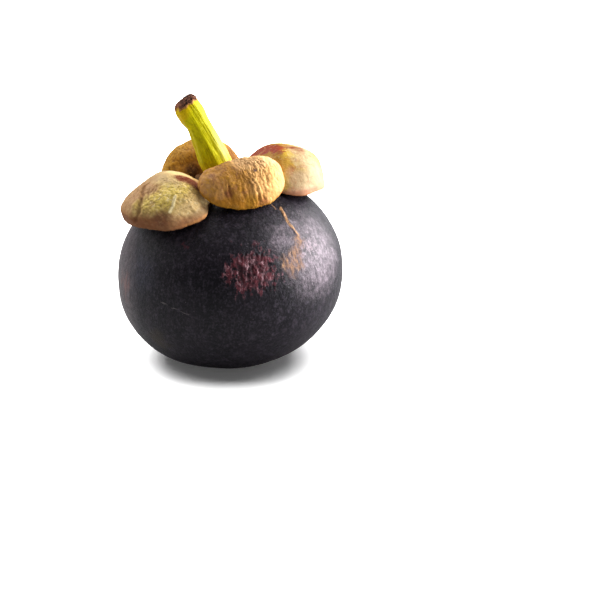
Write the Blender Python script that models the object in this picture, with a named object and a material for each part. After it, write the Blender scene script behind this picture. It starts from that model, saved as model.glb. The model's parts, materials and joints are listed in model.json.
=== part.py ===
"""A whole mangosteen with its calyx and stem, standing on its base rosette.

The fruit is drawn upright in its own frame, in millimetres: the origin is the
middle of the fruit and +Z its axis. One matrix then leans it and stands it on
z = 0, in metres. The world origin is the middle of the rosette's flat face.
"""
import math
from dataclasses import dataclass

import bmesh
import bpy
from mathutils import Matrix, Vector

MM = 0.001
GAP = 0.3                 # between neighbouring pieces

# The fruit: a rounded body, a little flatter below its widest ring
BODY_RADIUS = 31.0
BODY_TOP = 27.5
BODY_BOTTOM = 24.5
BODY_POWER = 2.1          # 2 would be an ellipsoid
BODY_COLUMNS = 64
BODY_RINGS = 34
LUMP = 0.1                # gentle unevenness of the rind
DIMPLE_DEPTH = 1.4
DIMPLE_RADIUS = 6.0

# How it stands
LEAN = math.radians(6.0)  # the fruit leans to -X
CENTRE_HEIGHT = 24.3
CENTRE_SHIFT = -1.5       # the fruit's middle, beside the rosette's

# The rosette, what is left of the flower's stigma, seven lobes in one disc
ROSETTE_RADIUS = 7.2
ROSETTE_WAIST = 0.58      # depth of the notches between lobes, as a share
ROSETTE_THICKNESS = 0.8
ROSETTE_EDGE = 0.25
ROSETTE_LOBES = 7
POINTS_PER_LOBE = 8
FLOOR_BLEND = 1.2         # how softly the rind flattens over the rosette

# The stem: (share of its height, radius), from its foot in the dimple up
STEM_PROFILE = ((0.0, 4.9), (0.025, 5.2), (0.06, 4.8), (0.13, 4.2), (0.24, 4.15), (0.36, 4.15),
                (0.5, 3.6), (0.64, 3.4), (0.78, 3.3), (0.9, 3.4), (0.97, 3.15), (1.0, 2.75))
STEM_HEIGHT = 24.0
STEM_FOOT = 0.7           # the foot's middle, to +X of the fruit's axis
STEM_SWAY = 7.2           # how far the tip bends to -X
STEM_SWAY_POWER = 1.6
STEM_TIP_LEAN = math.radians(28.0)
STEM_RIDGES = 9
STEM_RIDGE = 0.04         # ridge height, as a share of the radius
POINTS_PER_RIDGE = 4
STEM_CUT_HOLLOW = 0.5

# What all the sepals share
SEPAL_THICKNESS = 1.8
SEPAL_RIM = 0.7           # radius of the rounded rim
SEPAL_COLUMNS = 36
OUTER_RINGS = 8
INNER_RINGS = 5
DOME_POWER = 2.2
TIP_POWER = 2.2           # roundness of the outline's outer half
FOOT_POWER = 1.7          # and of its narrower half by the stem


@dataclass
class Sepal:
    """A cupped lobe: its outline on the rind, its dome, and how its rim stands off."""
    azimuth: float        # degrees round the fruit, 0 at -Y and 90 at +X
    reach: float          # from the fruit's axis to the dome's middle
    inward: float         # from the middle to the end by the stem
    outward: float        # from the middle to the tip
    half_width: float
    height: float
    flare: float          # how much wider it is at the tip
    turn: float           # degrees that the outline turns about its middle
    tip_out: float        # degrees that the dome points away from the axis
    clear: float          # rim above the rind
    clear_tip: float      # more at the tip
    clear_side: float     # and at the sides
    crest: float          # dome higher towards the tip
    slant: float          # dome higher on one side


SEPALS = {
    "sepal_front": Sepal(azimuth=31, reach=11.2, inward=5.1, outward=8.1, half_width=11.5,
                         height=8.7, flare=0.1, turn=-17, tip_out=11, clear=0.8,
                         clear_tip=0.0, clear_side=4.3, crest=0.0, slant=0.18),
    "sepal_left": Sepal(azimuth=-57, reach=12.8, inward=7.5, outward=14.7, half_width=13.2,
                        height=8.6, flare=-0.14, turn=-11, tip_out=38, clear=0.5,
                        clear_tip=5.5, clear_side=0.0, crest=0.0, slant=0.1),
    "sepal_right": Sepal(azimuth=108, reach=16.8, inward=10.5, outward=12.9, half_width=12.2,
                         height=9.4, flare=0.05, turn=-23, tip_out=13, clear=0.5,
                         clear_tip=6.0, clear_side=0.0, crest=0.3, slant=0.08),
    "sepal_back": Sepal(azimuth=201, reach=13.4, inward=7.9, outward=8.8, half_width=12.0,
                        height=9.4, flare=0.18, turn=-10, tip_out=22, clear=0.5,
                        clear_tip=0.8, clear_side=0.3, crest=0.0, slant=0.0),
}

# Colour, roughness and metallic value of each piece
FINISHES = {
    "rind": ((0.028, 0.022, 0.032), 0.42, 0.0),
    "sepal_front": ((0.50, 0.28, 0.10), 0.62, 0.0),
    "sepal_left": ((0.50, 0.38, 0.14), 0.58, 0.0),
    "sepal_right": ((0.78, 0.58, 0.26), 0.52, 0.0),
    "sepal_back": ((0.36, 0.19, 0.05), 0.62, 0.0),
    "stem": ((0.40, 0.34, 0.01), 0.50, 0.0),
    "stigma_rosette": ((0.10, 0.06, 0.04), 0.75, 0.0),
}


def clear_scene():
    for thing in list(bpy.data.objects):
        bpy.data.objects.remove(thing, do_unlink=True)


def standing_matrix():
    """From the fruit's own frame in millimetres to the table in metres."""
    place = Matrix.Translation((CENTRE_SHIFT, 0.0, CENTRE_HEIGHT))
    return Matrix.Scale(MM, 4) @ place @ Matrix.Rotation(-LEAN, 4, "Y")


def finish_of(name):
    colour, roughness, metallic = FINISHES[name]
    material = bpy.data.materials.new(name + "_finish")
    material.use_nodes = True
    shader = material.node_tree.nodes["Principled BSDF"]
    shader.inputs["Base Color"].default_value = (*colour, 1.0)
    shader.inputs["Roughness"].default_value = roughness
    shader.inputs["Metallic"].default_value = metallic
    return material


def add_piece(name, shape, fruit_frame=True):
    """Turn a bmesh in millimetres into the named object, smooth and facing outward."""
    shape.transform(standing_matrix() if fruit_frame else Matrix.Scale(MM, 4))
    bmesh.ops.recalc_face_normals(shape, faces=shape.faces)
    mesh = bpy.data.meshes.new(name)
    shape.to_mesh(mesh)
    shape.free()
    mesh.materials.append(finish_of(name))
    for face in mesh.polygons:
        face.use_smooth = True
    piece = bpy.data.objects.new(name, mesh)
    bpy.context.scene.collection.objects.link(piece)
    return piece


def loft(rings, closed_start, closed_end):
    """Skin a stack of rings of points, closing an end with a fan to its middle point."""
    shape = bmesh.new()
    loops = [[shape.verts.new(point) for point in ring] for ring in rings]
    for lower, upper in zip(loops, loops[1:]):
        for i in range(len(lower)):
            j = (i + 1) % len(lower)
            shape.faces.new((lower[i], lower[j], upper[j], upper[i]))
    for loop, middle in ((loops[0], closed_start), (loops[-1], closed_end)):
        hub = shape.verts.new(middle)
        for i in range(len(loop)):
            shape.faces.new((loop[i], loop[(i + 1) % len(loop)], hub))
    return shape


def body_level(point):
    """Below 1 inside the fruit's plain body and above 1 outside it."""
    radius = math.hypot(point.x, point.y)
    half_height = BODY_TOP if point.z > 0 else BODY_BOTTOM
    return (radius / BODY_RADIUS) ** BODY_POWER + (abs(point.z) / half_height) ** BODY_POWER


def dimple(radius):
    """How far the rind dips round the stem at a distance from the axis."""
    return DIMPLE_DEPTH * math.exp(-(radius / DIMPLE_RADIUS) ** 2)


def top_of_rind(radius):
    """Height of the rind near the stem at a distance from the axis."""
    share = 1.0 - (radius / BODY_RADIUS) ** BODY_POWER
    return BODY_TOP * share ** (1.0 / BODY_POWER) - dimple(radius)


def build_rind():
    shape = bmesh.new()
    bmesh.ops.create_uvsphere(shape, u_segments=BODY_COLUMNS, v_segments=BODY_RINGS, radius=1.0)
    for vert in shape.verts:
        point = vert.co.normalized()
        point *= body_level(point) ** (-1.0 / BODY_POWER)
        around = math.atan2(point.y, point.x)
        height = point.z / BODY_BOTTOM
        sway = math.sin(3 * around + 2 * height) + 0.6 * math.sin(5 * around - 3 * height)
        girth = math.hypot(point.x, point.y) / BODY_RADIUS
        point *= 1.0 + LUMP / BODY_RADIUS * girth * sway
        if point.z > 0:
            point.z -= dimple(math.hypot(point.x, point.y))
        vert.co = point
    shape.transform(standing_matrix())
    floor = (ROSETTE_THICKNESS + GAP) * MM
    blend = FLOOR_BLEND * MM
    for vert in shape.verts:
        above = vert.co.z - floor
        if above < blend:
            vert.co.z = floor + max(0.0, above + blend) ** 2 / (4 * blend)
    shape.transform(standing_matrix().inverted())
    return add_piece("rind", shape)


def rosette_ring(inset, height):
    count = ROSETTE_LOBES * POINTS_PER_LOBE
    ring = []
    for i in range(count):
        around = 2 * math.pi * i / count
        lobe = abs(math.cos(ROSETTE_LOBES * around / 2)) ** 0.5
        radius = ROSETTE_RADIUS * (ROSETTE_WAIST + (1 - ROSETTE_WAIST) * lobe) - inset
        ring.append(Vector((radius * math.cos(around), radius * math.sin(around), height)))
    return ring


def build_rosette():
    rings = [
        rosette_ring(ROSETTE_EDGE, 0.0),
        rosette_ring(0.0, ROSETTE_EDGE),
        rosette_ring(0.0, ROSETTE_THICKNESS - ROSETTE_EDGE),
        rosette_ring(ROSETTE_EDGE, ROSETTE_THICKNESS),
    ]
    shape = loft(rings, Vector((0, 0, 0)), Vector((0, 0, ROSETTE_THICKNESS)))
    return add_piece("stigma_rosette", shape, fruit_frame=False)


def stem_ring(share, radius):
    """A ridged ring across the stem, turned to follow its bend."""
    foot = top_of_rind(0.0) + GAP
    sway = STEM_SWAY * share ** STEM_SWAY_POWER
    middle = Vector((STEM_FOOT - sway, 0.0, foot + STEM_HEIGHT * share))
    turn = Matrix.Rotation(-STEM_TIP_LEAN * share ** (STEM_SWAY_POWER - 1), 3, "Y")
    count = STEM_RIDGES * POINTS_PER_RIDGE
    ring = []
    for i in range(count):
        around = 2 * math.pi * i / count
        ridged = radius * (1 + STEM_RIDGE * math.cos(STEM_RIDGES * around + 2.5 * share))
        across = Vector((ridged * math.cos(around), ridged * math.sin(around), 0.0))
        ring.append(middle + turn @ across)
    return ring


def seat_on_rind(ring):
    """Lift a ring's points to just above the rind."""
    return [Vector((p.x, p.y, max(p.z, top_of_rind(math.hypot(p.x, p.y)) + GAP))) for p in ring]


def build_stem():
    rings = [seat_on_rind(stem_ring(0.0, STEM_PROFILE[0][1] * 0.5))]
    rings += [seat_on_rind(stem_ring(share, radius)) for share, radius in STEM_PROFILE]
    tip_radius = STEM_PROFILE[-1][1]
    rings.append([p.copy() for p in stem_ring(1.0, tip_radius * 0.72)])
    tip = stem_ring(1.0, 0.0)[0]
    sunk = tip - Vector((-math.sin(STEM_TIP_LEAN), 0.0, math.cos(STEM_TIP_LEAN))) * STEM_CUT_HOLLOW
    foot = Vector((STEM_FOOT, 0.0, top_of_rind(STEM_FOOT) + GAP))
    return add_piece("stem", loft(rings, foot, sunk))


def sepal_axes(sepal):
    """Where a sepal's dome stands on the rind, and its up, outward and sideways axes."""
    azimuth = math.radians(sepal.azimuth)
    outward = Vector((math.sin(azimuth), -math.cos(azimuth), 0.0))
    sideways = Vector((math.cos(azimuth), math.sin(azimuth), 0.0))
    share = 1.0 - (sepal.reach / BODY_RADIUS) ** BODY_POWER
    middle = outward * sepal.reach + Vector((0, 0, BODY_TOP * share ** (1.0 / BODY_POWER)))
    tip_out = math.radians(sepal.tip_out)
    up = outward * math.sin(tip_out) + Vector((0, 0, math.cos(tip_out)))
    along = outward * math.cos(tip_out) - Vector((0, 0, math.sin(tip_out)))
    return middle, up, along, sideways


def drop_to_rind(point, up):
    """How far along up the rind lies from a point, found by halving."""
    low, high = -25.0, 12.0
    for _ in range(40):
        trial = (low + high) / 2
        if body_level(point + up * trial) > 1.0:
            high = trial
        else:
            low = trial
    return (low + high) / 2


def sepal_point(sepal, axes, around, spread, dome, rise):
    """A point at a share of the outline (spread), with so much dome and rise over the rind."""
    middle, up, along, sideways = axes
    across, ahead = math.sin(around), math.cos(around)
    power = TIP_POWER if ahead >= 0 else FOOT_POWER
    scale = spread * (abs(ahead) ** power + abs(across) ** power) ** (-1.0 / power)
    p, q = ahead * scale, across * scale
    length = p * (sepal.outward if p >= 0 else sepal.inward)
    width = q * sepal.half_width * (1 + sepal.flare * p)
    turn = math.radians(sepal.turn)
    ahead_mm = length * math.cos(turn) - width * math.sin(turn)
    across_mm = length * math.sin(turn) + width * math.cos(turn)
    base = middle + along * ahead_mm + sideways * across_mm
    clear = sepal.clear + sepal.clear_tip * max(0.0, p) ** 2 + sepal.clear_side * q ** 2
    swell = dome * (1 + sepal.crest * p + sepal.slant * q)
    return base + up * (drop_to_rind(base, up) + clear + swell + rise)


def sepal_rings(sepal):
    """Rings from the top of the dome out over the rim and back up its hollow side."""
    axes = sepal_axes(sepal)
    inside = 1.0 - SEPAL_THICKNESS / sepal.half_width
    middle, half = (1 + inside) / 2, (1 - inside) / 2
    steps = []
    for i in range(1, OUTER_RINGS + 1):
        spread = (i / OUTER_RINGS) ** 0.72
        steps.append((spread, sepal.height * (1 - spread ** DOME_POWER) ** 0.5, SEPAL_RIM))
    for degrees in (45, 90, 135):
        angle = math.radians(degrees)
        steps.append((middle + half * math.cos(angle), 0.0, SEPAL_RIM * (1 - math.sin(angle))))
    inner_height = sepal.height - SEPAL_THICKNESS
    for i in range(INNER_RINGS, 0, -1):
        spread = (i / INNER_RINGS) ** 0.8
        steps.append((spread * inside, inner_height * (1 - spread ** DOME_POWER) ** 0.5, SEPAL_RIM))
    angles = [2 * math.pi * i / SEPAL_COLUMNS for i in range(SEPAL_COLUMNS)]
    rings = [[sepal_point(sepal, axes, a, *step) for a in angles] for step in steps]
    top = sepal_point(sepal, axes, 0.0, 0.0, sepal.height, SEPAL_RIM)
    underside = sepal_point(sepal, axes, 0.0, 0.0, inner_height, SEPAL_RIM)
    return rings, top, underside


def build_sepal(name, sepal):
    rings, top, underside = sepal_rings(sepal)
    return add_piece(name, loft(rings, top, underside))


def main():
    clear_scene()
    build_rind()
    build_rosette()
    build_stem()
    for name, sepal in SEPALS.items():
        build_sepal(name, sepal)


main()
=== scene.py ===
"""The looks of a whole mangosteen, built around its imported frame.

Lengths inside the finishes and the carving are millimetres, in the frame's own
axes: X across the fruit, Y away from the side seen first, Z up from the table. On a
sepal they are in its own axes, from its middle: x sideways, y to the stem, z up.
"""
import json
import math

import bpy
from mathutils import Matrix, Vector, noise
from mathutils.bvhtree import BVHTree

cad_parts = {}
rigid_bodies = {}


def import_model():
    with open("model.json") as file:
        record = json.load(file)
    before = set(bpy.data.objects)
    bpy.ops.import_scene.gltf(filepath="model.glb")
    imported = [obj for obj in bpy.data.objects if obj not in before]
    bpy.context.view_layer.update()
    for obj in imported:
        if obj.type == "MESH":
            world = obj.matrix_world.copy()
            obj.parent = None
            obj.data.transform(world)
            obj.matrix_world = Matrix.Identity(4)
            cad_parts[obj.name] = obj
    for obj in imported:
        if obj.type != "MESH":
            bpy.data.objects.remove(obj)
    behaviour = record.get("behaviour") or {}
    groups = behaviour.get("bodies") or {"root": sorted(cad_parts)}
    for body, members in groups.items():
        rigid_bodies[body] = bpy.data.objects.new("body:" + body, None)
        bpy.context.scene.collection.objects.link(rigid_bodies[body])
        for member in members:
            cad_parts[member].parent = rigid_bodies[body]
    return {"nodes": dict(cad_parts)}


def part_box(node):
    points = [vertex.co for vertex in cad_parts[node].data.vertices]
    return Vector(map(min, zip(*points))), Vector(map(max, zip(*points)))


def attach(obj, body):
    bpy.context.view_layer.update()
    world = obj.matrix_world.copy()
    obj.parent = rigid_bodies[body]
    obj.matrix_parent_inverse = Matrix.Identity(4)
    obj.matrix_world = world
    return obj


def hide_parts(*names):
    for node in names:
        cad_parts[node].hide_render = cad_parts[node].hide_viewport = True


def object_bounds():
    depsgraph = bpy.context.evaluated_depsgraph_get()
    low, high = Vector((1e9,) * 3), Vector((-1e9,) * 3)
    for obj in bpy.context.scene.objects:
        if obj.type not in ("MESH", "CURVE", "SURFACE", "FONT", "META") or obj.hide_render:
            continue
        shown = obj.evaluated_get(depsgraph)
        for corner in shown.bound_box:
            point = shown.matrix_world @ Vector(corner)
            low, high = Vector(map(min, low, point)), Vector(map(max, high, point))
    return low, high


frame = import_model()
cad_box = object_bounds()

# Without a seed the vector noise starts from the clock and the carving differs each time
NOISE_SEED = 5
noise.seed_set(NOISE_SEED)

MM = 0.001
FRUIT_MIDDLE = Vector((-1.5, 0.0, 24.3))

# Direction that each sepal points in, degrees round the fruit, 0 at -Y and 90 at +X
SEPAL_AZIMUTHS = {"sepal_front": 31, "sepal_left": -57, "sepal_right": 108, "sepal_back": 201}


# ---------------------------------------------------------------- shader maths

class Value:
    """A node's output, with arithmetic that adds Math nodes."""

    def __init__(self, finish, socket):
        self.finish = finish
        self.socket = socket

    def math(self, operation, *others, clamp=False):
        settings = {"operation": operation, "use_clamp": clamp}
        return self.finish.node("Math", settings, {0: self, **dict(enumerate(others, 1))})

    def __add__(self, other):
        return self.math("ADD", other)

    def __radd__(self, other):
        return self.math("ADD", other)

    def __sub__(self, other):
        return self.math("SUBTRACT", other)

    def __rsub__(self, other):
        return self.finish.node("Math", {"operation": "SUBTRACT"}, {0: other, 1: self})

    def __mul__(self, other):
        return self.math("MULTIPLY", other)

    def __rmul__(self, other):
        return self.math("MULTIPLY", other)

    def most(self, other):
        return self.math("MAXIMUM", other)

    def fade(self, low, high):
        """0 below low, 1 above high, smooth between; the other way round if low > high."""
        ends = (low, high, 0.0, 1.0) if low <= high else (high, low, 1.0, 0.0)
        settings = {"interpolation_type": "SMOOTHSTEP"}
        return self.finish.node("MapRange", settings, {0: self, **dict(enumerate(ends, 1))})

    def band(self, low, high, soft):
        """1 between low and high, fading to 0 over a soft edge."""
        return self.fade(low - soft, low + soft) * self.fade(high + soft, high - soft)


class Finish:
    """A procedural material, its shader and a short way to add nodes to it."""

    def __init__(self, name):
        self.material = bpy.data.materials.new(name)
        self.material.use_nodes = True
        self.tree = self.material.node_tree
        self.shader = self.tree.nodes["Principled BSDF"]
        self.place = self.node("TexCoord", {}, {}, out="Object")

    def node(self, kind, settings, inputs, out=0):
        made = self.tree.nodes.new("ShaderNode" + kind)
        for name, value in settings.items():
            setattr(made, name, value)
        for name, value in inputs.items():
            self.feed(made.inputs[name], value)
        return Value(self, made.outputs[out])

    def feed(self, socket, value):
        if isinstance(value, Value):
            self.tree.links.new(value.socket, socket)
        else:
            socket.default_value = value

    def local(self, middle, turn=0.0, scale=(1.0, 1.0, 1.0), lean=0.0):
        """Object coordinates in millimetres from a middle point, turned and stretched."""
        return self.node("Mapping", {"vector_type": "TEXTURE"}, {
            "Vector": self.place,
            "Location": tuple(value * MM for value in middle),
            "Rotation": (0.0, lean, turn),
            "Scale": tuple(value * MM for value in scale),
        })

    def parts(self, vector):
        split = self.tree.nodes.new("ShaderNodeSeparateXYZ")
        self.feed(split.inputs[0], vector)
        return [Value(self, out) for out in split.outputs]

    def shift(self, vector, amount):
        return self.node("VectorMath", {"operation": "ADD"}, {0: vector, 1: amount})

    def stretch(self, vector, factors):
        return self.node("VectorMath", {"operation": "MULTIPLY"}, {0: vector, 1: factors})

    def noise(self, vector, scale=1.0, detail=3.0, roughness=0.55):
        return self.node("TexNoise", {}, {
            "Vector": vector, "Scale": scale, "Detail": detail, "Roughness": roughness,
        })

    def drift(self, vector, scale):
        """A soft vector noise about zero, to bend a pattern with."""
        inputs = {"Vector": vector, "Scale": scale, "Detail": 3.0}
        raw = self.node("TexNoise", {}, inputs, out="Color")
        return self.node("VectorMath", {"operation": "SUBTRACT"}, {0: raw, 1: (0.5, 0.5, 0.5)})

    def cells(self, vector, scale):
        """The distance to the nearest of many scattered points."""
        return self.node("TexVoronoi", {}, {"Vector": vector, "Scale": scale}, out="Distance")

    def mix(self, mask, below, above):
        """The below colour where the mask is 0 and the above colour where it is 1."""
        return self.node("Mix", {"data_type": "RGBA"}, {0: mask, 6: below, 7: above}, out=2)

    def attribute(self, name):
        """A number that the carving left on the piece's own points."""
        return self.node("Attribute", {"attribute_name": name}, {}, out="Fac")

    def away(self, vector, point):
        """The distance from a vector to a point."""
        return self.node("VectorMath", {"operation": "DISTANCE"}, {0: vector, 1: point}, out="Value")

    def near(self, vector, point, inner, outer):
        """1 within an inner distance of a point, in the vector's own units, 0 past the outer."""
        return self.away(vector, point).fade(outer, inner)

    def along(self, vector, start, end, inner, outer):
        """1 within an inner distance of the line from start to end, 0 past the outer."""
        run = Vector(end) - Vector(start)
        from_start = self.node("VectorMath", {"operation": "SUBTRACT"}, {0: vector, 1: start})
        reach = self.node("VectorMath", {"operation": "DOT_PRODUCT"},
                          {0: from_start, 1: tuple(run / run.length_squared)}, out="Value")
        reach = reach.math("ADD", 0.0, clamp=True)
        spot = self.node("VectorMath", {"operation": "SCALE"}, {0: tuple(run), "Scale": reach})
        return self.away(from_start, spot).fade(outer, inner)

    def path(self, vector, points, inner, outer):
        """The same along a path of several points."""
        masks = [self.along(vector, *pair, inner, outer) for pair in zip(points, points[1:])]
        joined = masks[0]
        for mask in masks[1:]:
            joined = joined.most(mask)
        return joined

    def bump(self, height, distance, strength=1.0, under=None):
        inputs = {"Height": height, "Distance": distance * MM, "Strength": strength}
        if under is not None:
            inputs["Normal"] = under
        return self.node("Bump", {}, inputs)

    def set(self, **values):
        for name, value in values.items():
            self.feed(self.shader.inputs[name.replace("_", " ").title()], value)

    def reflect(self, level):
        """How strongly the whole surface reflects; 0.5 is an ordinary glossy skin."""
        self.shader.inputs["Specular IOR Level"].default_value = level


def colour(red, green, blue):
    """A display colour, 0 to 255, as the linear colour that nodes use."""
    linear = []
    for part in (red, green, blue):
        share = part / 255.0
        linear.append(share / 12.92 if share <= 0.04045 else ((share + 0.055) / 1.055) ** 2.4)
    return (*linear, 1.0)


# ---------------------------------------------------------------- modelling

WELD_DISTANCE = 0.00001    # metres
QUAD_BEND = 0.6            # radians, the sharpest fold across which two triangles join
QUAD_SKEW = 0.9            # radians, the furthest that a joined face's corners may be from square
VALLEY_SHARPNESS = 1.4
WANDER_SCALE = 0.35        # of the slow bends in stretched patterns, per millimetre


def pick_only(piece):
    for other in bpy.context.scene.objects:
        other.select_set(False)
    piece.select_set(True)
    bpy.context.view_layer.objects.active = piece


def apply_modifier(piece, kind, **settings):
    pick_only(piece)
    modifier = piece.modifiers.new(kind.lower(), kind)
    for name, value in settings.items():
        setattr(modifier, name, value)
    bpy.ops.object.modifier_apply(modifier=modifier.name)


def refined_copy(node, name, levels):
    """A welded, subdivided copy of a node that stands for it."""
    source = frame["nodes"][node]
    piece = bpy.data.objects.new(name, source.data.copy())
    bpy.context.scene.collection.objects.link(piece)
    piece.data.materials.clear()
    pick_only(piece)
    bpy.ops.object.mode_set(mode="EDIT")
    bpy.ops.mesh.select_all(action="SELECT")
    bpy.ops.mesh.remove_doubles(threshold=WELD_DISTANCE)
    bpy.ops.mesh.tris_convert_to_quads(face_threshold=QUAD_BEND, shape_threshold=QUAD_SKEW)
    bpy.ops.mesh.normals_make_consistent(inside=False)
    bpy.ops.object.mode_set(mode="OBJECT")
    apply_modifier(piece, "SUBSURF", levels=levels, render_levels=levels)
    bpy.ops.object.shade_smooth()
    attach(piece, "root")
    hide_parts(node)
    return piece


def refine_near(piece, point, radius, cuts):
    """Cut the faces within a radius of a point into smaller ones."""
    pick_only(piece)
    # In face mode, edit mode keeps the faces picked here; in point mode it would take them all
    bpy.context.tool_settings.mesh_select_mode = (False, False, True)
    for polygon in piece.data.polygons:
        polygon.select = (polygon.center / MM - Vector(point)).length < radius
    bpy.ops.object.mode_set(mode="EDIT")
    bpy.ops.mesh.subdivide(number_cuts=cuts, smoothness=0.0)
    bpy.ops.object.mode_set(mode="OBJECT")


def carve(piece, depth_at, middle=Vector(), turn=0.0):
    """Sink each point along its normal by a depth worked out in local axes.

    depth_at gives the depth in millimetres and how far the point lies in a crack. The
    crack, and how far the skin faces down, stay on the points for the finish. No point
    leaves the CAD model's box.
    """
    low, high = cad_box
    into_local = Matrix.Rotation(-turn, 3, "Z")
    mesh = piece.data
    moves = []
    cracks = []
    down = []
    for vert in mesh.vertices:
        local = into_local @ (vert.co / MM - middle)
        depth, crack = depth_at(local)
        moves.append(vert.co - vert.normal * depth * MM)
        cracks.append(crack)
        down.append(-vert.normal.z)
    for vert, place in zip(mesh.vertices, moves):
        vert.co = [min(max(place[axis], low[axis]), high[axis]) for axis in range(3)]
    for name, values in (("crack", cracks), ("down", down)):
        mesh.attributes.new(name=name, type="FLOAT", domain="POINT").data.foreach_set("value", values)
    mesh.update()


def ease(value, low, high):
    """0 at low and 1 at high with a smooth rise; low may be above high."""
    share = min(1.0, max(0.0, (value - low) / (high - low)))
    return share * share * (3 - 2 * share)


def off_path(place, path):
    """The distance from a place to the nearest point of a path."""
    nearest = 1e9
    for start, end in zip(path, path[1:]):
        run = end - start
        share = min(1.0, max(0.0, (place - start).dot(run) / run.length_squared))
        nearest = min(nearest, (place - start - run * share).length)
    return nearest


def valley(place, width):
    """1 along the thin wandering lines where a noise crosses zero, 0 away from them."""
    return max(0.0, 1.0 - abs(noise.noise(place)) / width) ** VALLEY_SHARPNESS


def stretched(place, across, down, warp=0.0):
    """A place squeezed so that a pattern on it runs long down the slope, and wanders."""
    bend = noise.noise_vector(place * WANDER_SCALE) * warp
    return Vector((place.x / across, place.y / down, place.z / down)) + bend


def points(*places):
    return [Vector(place) for place in places]


def swell(place, scale, height):
    """Smooth lumps and hollows of a size and a height."""
    return noise.noise(place * scale) * height


def middle_of(node):
    low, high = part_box(node)
    return (low + high) / 2 / MM


def turn_of(node):
    return math.radians(SEPAL_AZIMUTHS[node])


# ---------------------------------------------------------------- rind

SCRAPE_MIDDLE = (4.4, -28.0, 35.4)
SCRAPE_SIZE = (7.9, 8.6, 6.4)
SCAR_LINE = ((12.0, -12.2, 47.4), (13.4, -14.6, 45.6), (14.6, -16.1, 43.9), (16.5, -17.5, 41.5))
SCAR_BRANCH = ((9.4, -12.0, 48.4), (10.7, -13.1, 47.5))
SCAR_FAN = (    # each lobe's middle, and the distances at which it starts to fade and is gone
    ((16.6, -18.4, 40.7), 1.0, 2.6),
    ((16.4, -20.8, 38.3), 1.4, 3.4),
    ((15.1, -23.4, 36.3), 2.3, 4.6),
)
SCRATCH = ((-20.2, -24.7, 25.8), (-16.5, -27.1, 24.7), (-12.8, -28.8, 23.9))

# The part round the scrape and the scar that gets finer faces
DETAIL_MIDDLE = (8.5, -23.5, 38.0)
DETAIL_RADIUS = 15.0
DETAIL_CUTS = 2

# Depths and heights on the rind
RIND_INSET = 0.05
RIND_FULLNESS = 0.2
SCRAPE_INSET = 0.14
SCRAPE_RIDGE = 0.26
SCRAPE_SMALL_RIDGE = 0.12
CORK_HEIGHT = 0.1
SCAR_HEIGHT = 0.14


def rind_depth(place):
    """Slight lumps all over, fuller cheeks, the ridges of the scrape and a corky scar."""
    lumps = swell(place, 0.11, 0.10) + swell(place, 0.4, 0.04)
    grain = noise.noise(Vector((place.x, place.y, place.z * 0.5)) * 1.1) * 0.025
    low_left = ease(place.z, 24.0, 14.0) * ease(place.z, 0.5, 3.0) * ease(place.x, -8.0, -18.0)
    high_right = ease(place.x, 14.0, 22.0) * ease(place.z, 26.0, 32.0)
    depth = RIND_INSET + lumps + grain - max(low_left, high_right) * RIND_FULLNESS

    away = place - Vector(SCRAPE_MIDDLE)
    reach = Vector([part / size for part, size in zip(away, SCRAPE_SIZE)]).length
    scrape = ease(reach + swell(place, 0.5, 0.7), 1.0, 0.3)
    upright = Vector((place.x * 0.9, place.y * 0.4, place.z * 0.24))
    upright += noise.noise_vector(place * WANDER_SCALE) * 0.5
    ridges = valley(upright, 0.3)
    small = valley(upright * 2.1 + Vector((3, 1, 5)), 0.4)
    depth += scrape * (SCRAPE_INSET - ridges * SCRAPE_RIDGE - small * SCRAPE_SMALL_RIDGE)

    bend = noise.noise_vector(place * 0.5)
    fan = max(ease((place - Vector(at)).length, outer, inner) for at, inner, outer in SCAR_FAN)
    corky = valley(Vector((place.x * 0.8, place.y * 0.6, place.z * 0.3)) + bend * 0.4, 0.3)
    scar = ease(off_path(place + bend * 0.5, points(*SCAR_LINE)), 0.6, 0.15)
    between_ridges = 1 - min(1.0, ridges + small * 0.5)
    return depth - fan * corky * CORK_HEIGHT - scar * SCAR_HEIGHT, scrape * between_ridges


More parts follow.
